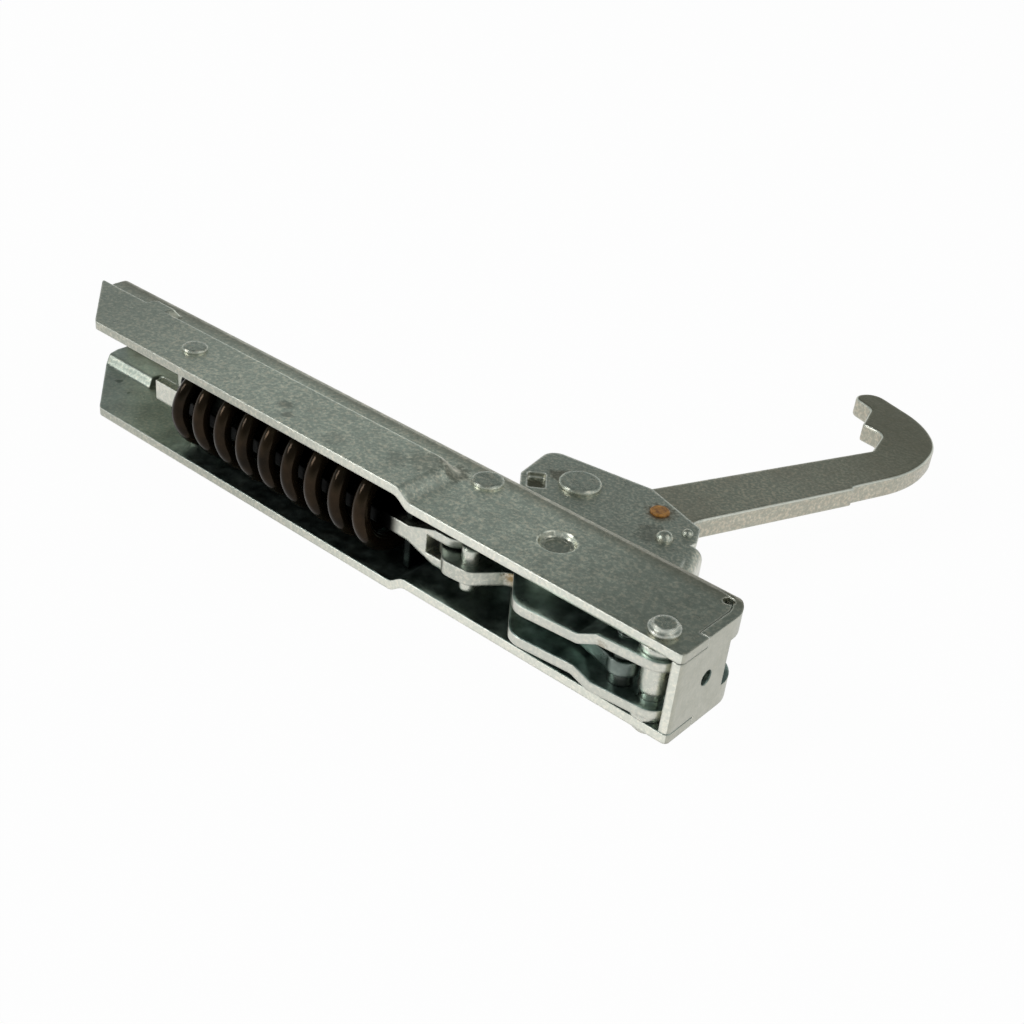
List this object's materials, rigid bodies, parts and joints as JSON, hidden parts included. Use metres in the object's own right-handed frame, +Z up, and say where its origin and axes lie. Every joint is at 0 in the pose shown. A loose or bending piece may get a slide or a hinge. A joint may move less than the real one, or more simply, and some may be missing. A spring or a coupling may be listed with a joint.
{
  "type": "oven door hinge",
  "caption": "Oven door hinge: a folded plated case with a compression spring and rod, and a swinging lever that carries a flat hooked arm.",
  "frame": {"origin": "centre of the fixing hole, on the outer face of the case's end cap", "axes": "+X out of the end cap along the case, +Y from the case's open side through its web towards the hook, +Z up along the lever's pivot"},
  "size_m": [0.167, 0.129, 0.0234],
  "materials": {
    "zinc_case": "satin zinc plate, mottled",
    "zinc_lever": "satin zinc plate",
    "zinc_inner": "satin zinc plate, oiled",
    "spring_steel": "dark oiled spring wire",
    "rivet_steel": "bright zinc plate"
  },
  "bodies": {
    "case": {"case_channel": "zinc_case", "pivot_pin": "rivet_steel", "pivot_sleeve": "rivet_steel", "pivot_washer_upper": "rivet_steel", "pivot_washer_lower": "rivet_steel", "guide_pin": "rivet_steel", "pillar_pin": "rivet_steel", "guide_button_upper": "rivet_steel", "guide_button_lower": "rivet_steel", "spring_stop": "zinc_inner", "main_spring": "spring_steel"},
    "lever": {"lever_bracket": "zinc_lever", "hook_arm": "zinc_lever", "main_rivet": "rivet_steel", "arm_rivet": "rivet_steel", "dome_rivet_1": "rivet_steel", "dome_rivet_2": "rivet_steel", "crank_pin": "rivet_steel", "crank_bush_upper": "rivet_steel", "crank_bush_lower": "rivet_steel"},
    "link": {"link_plate": "zinc_inner", "link_peg": "rivet_steel"},
    "rod": {"spring_rod": "zinc_inner", "fork_pin": "rivet_steel", "spring_seat": "zinc_inner"}
  },
  "joints": [
    {"name": "lever_swing", "type": "hinge", "parent": "case", "child": "lever", "pos_m": [-0.0061, -0.0058, 0], "axis": [0, 0, -1], "range_deg": [0, 90], "stiffness_Nm_per_rad": 0.6, "springref_deg": -20.05, "deforming": ["main_spring"]},
    {"name": "link_turn", "type": "hinge", "parent": "lever", "child": "link", "pos_m": [-0.01208, -0.00632, 0], "axis": [0, 0, 1], "range_deg": [0, 100.2]},
    {"name": "rod_turn", "type": "hinge", "parent": "link", "child": "rod", "pos_m": [-0.0536, -0.00155, 0], "axis": [0, 0, -1], "range_deg": [0, 10.2]}
  ],
  "couplings": [
    {"joint": "link_turn", "follows": "lever_swing", "ratio": 1.1111},
    {"joint": "rod_turn", "follows": "lever_swing", "ratio": 0.11111}
  ]
}
